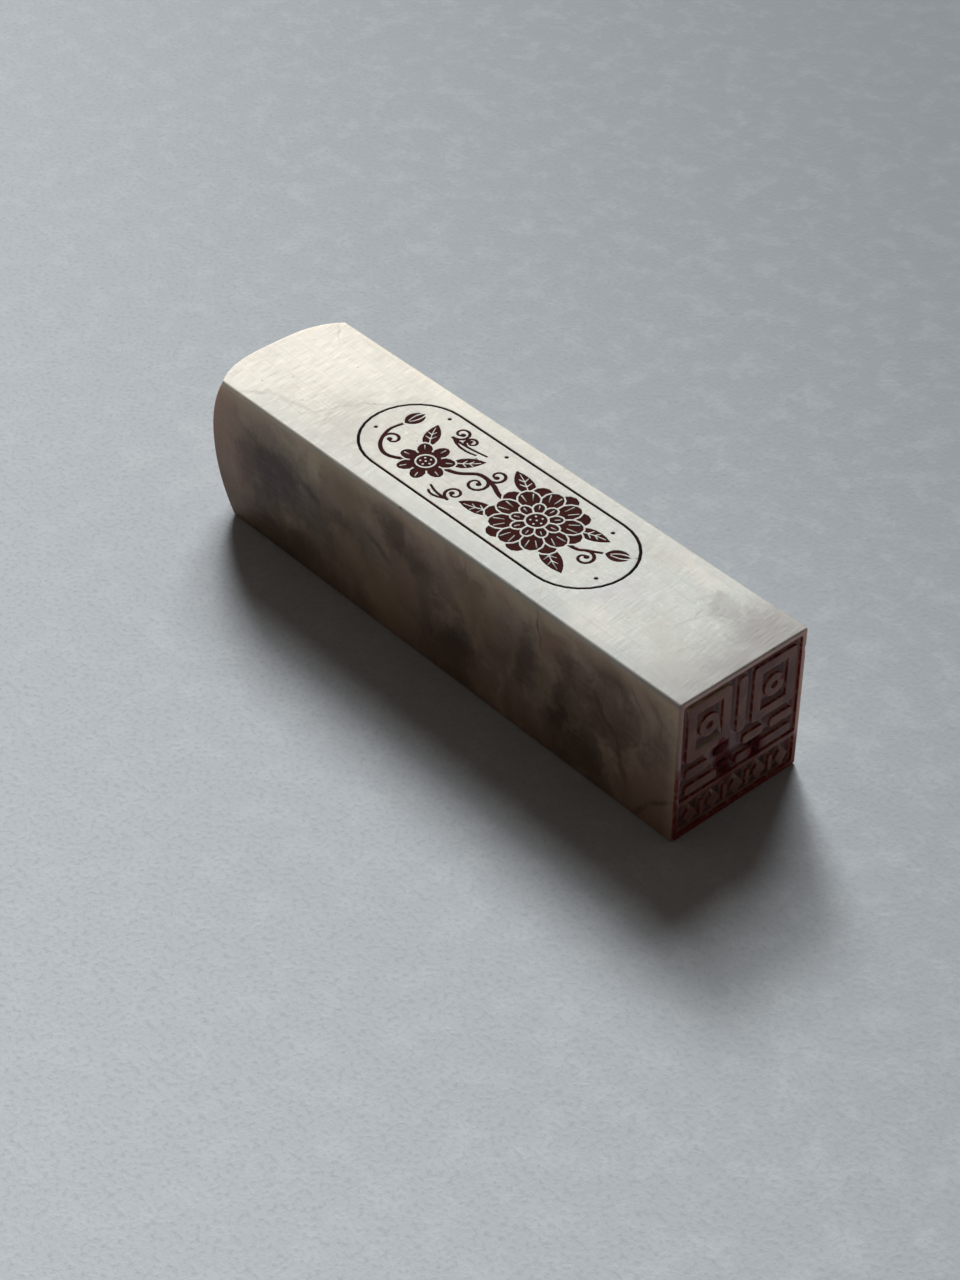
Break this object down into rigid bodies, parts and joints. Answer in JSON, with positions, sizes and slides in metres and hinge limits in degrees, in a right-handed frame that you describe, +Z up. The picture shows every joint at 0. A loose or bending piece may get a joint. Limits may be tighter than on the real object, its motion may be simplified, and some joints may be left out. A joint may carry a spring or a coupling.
{
  "type": "seal stamp",
  "caption": "Square stone seal with a relief-carved stamping face, a domed grip end and an engraved floral panel filled with dark paint.",
  "frame": {"origin": "bottom centre of the box of the seal, lying on its side, on the surface that it rests on", "axes": "+X along the seal towards its stamping face, +Y across it, +Z up out of the engraved side"},
  "size_m": [0.0646, 0.015, 0.0154],
  "materials": {
    "stone": "polished cream stone, clouded grey-brown and pink inside, fine veins",
    "fill_paint": "dark red-brown paint, satin, finely grained",
    "line_paint": "near-black brown paint, satin",
    "ink_paste": "dried red seal paste, waxy"
  },
  "bodies": {
    "root": {"stone_body": "stone", "frame_line_paint": "line_paint", "large_bloom_heart_paint": "fill_paint", "large_bloom_inner_petal_1_paint": "fill_paint", "large_bloom_inner_petal_2_paint": "fill_paint", "large_bloom_inner_petal_3_paint": "fill_paint", "large_bloom_inner_petal_4_paint": "fill_paint", "large_bloom_inner_petal_5_paint": "fill_paint", "large_bloom_inner_petal_6_paint": "fill_paint", "large_bloom_inner_petal_7_paint": "fill_paint", "large_bloom_inner_petal_8_paint": "fill_paint", "large_bloom_inner_petal_9_paint": "fill_paint", "large_bloom_outer_petal_1_paint": "fill_paint", "large_bloom_outer_petal_2_paint": "fill_paint", "large_bloom_outer_petal_3_paint": "fill_paint", "large_bloom_outer_petal_4_paint": "fill_paint", "large_bloom_outer_petal_5_paint": "fill_paint", "large_bloom_outer_petal_6_paint": "fill_paint", "large_bloom_outer_petal_7_paint": "fill_paint", "large_bloom_outer_petal_8_paint": "fill_paint", "large_bloom_outer_petal_9_paint": "fill_paint", "large_bloom_back_petal_1_paint": "fill_paint", "large_bloom_back_petal_2_paint": "fill_paint", "large_bloom_back_petal_3_paint": "fill_paint", "large_bloom_back_petal_4_paint": "fill_paint", "large_bloom_back_petal_5_paint": "fill_paint", "large_bloom_back_petal_6_paint": "fill_paint", "large_bloom_back_petal_7_paint": "fill_paint", "large_bloom_back_petal_8_paint": "fill_paint", "large_bloom_back_petal_9_paint": "fill_paint", "small_bloom_heart_paint": "fill_paint", "small_bloom_petals_paint": "fill_paint", "leaf_1_paint": "fill_paint", "leaf_2_paint": "fill_paint", "leaf_3_paint": "fill_paint", "leaf_4_paint": "fill_paint", "leaf_5_paint": "fill_paint", "leaf_6_paint": "fill_paint", "left_bud_paint": "fill_paint", "right_bud_paint": "fill_paint", "left_vine_paint": "fill_paint", "middle_vine_paint": "fill_paint", "right_vine_paint": "fill_paint", "upper_cloud_paint": "fill_paint", "lower_cloud_paint": "fill_paint", "dot_1_paint": "fill_paint", "dot_2_paint": "fill_paint", "dot_3_paint": "fill_paint", "dot_4_paint": "fill_paint", "dot_5_paint": "fill_paint", "ink_paste_1": "ink_paste", "ink_paste_2": "ink_paste", "ink_paste_3": "ink_paste"}
  },
  "joints": []
}
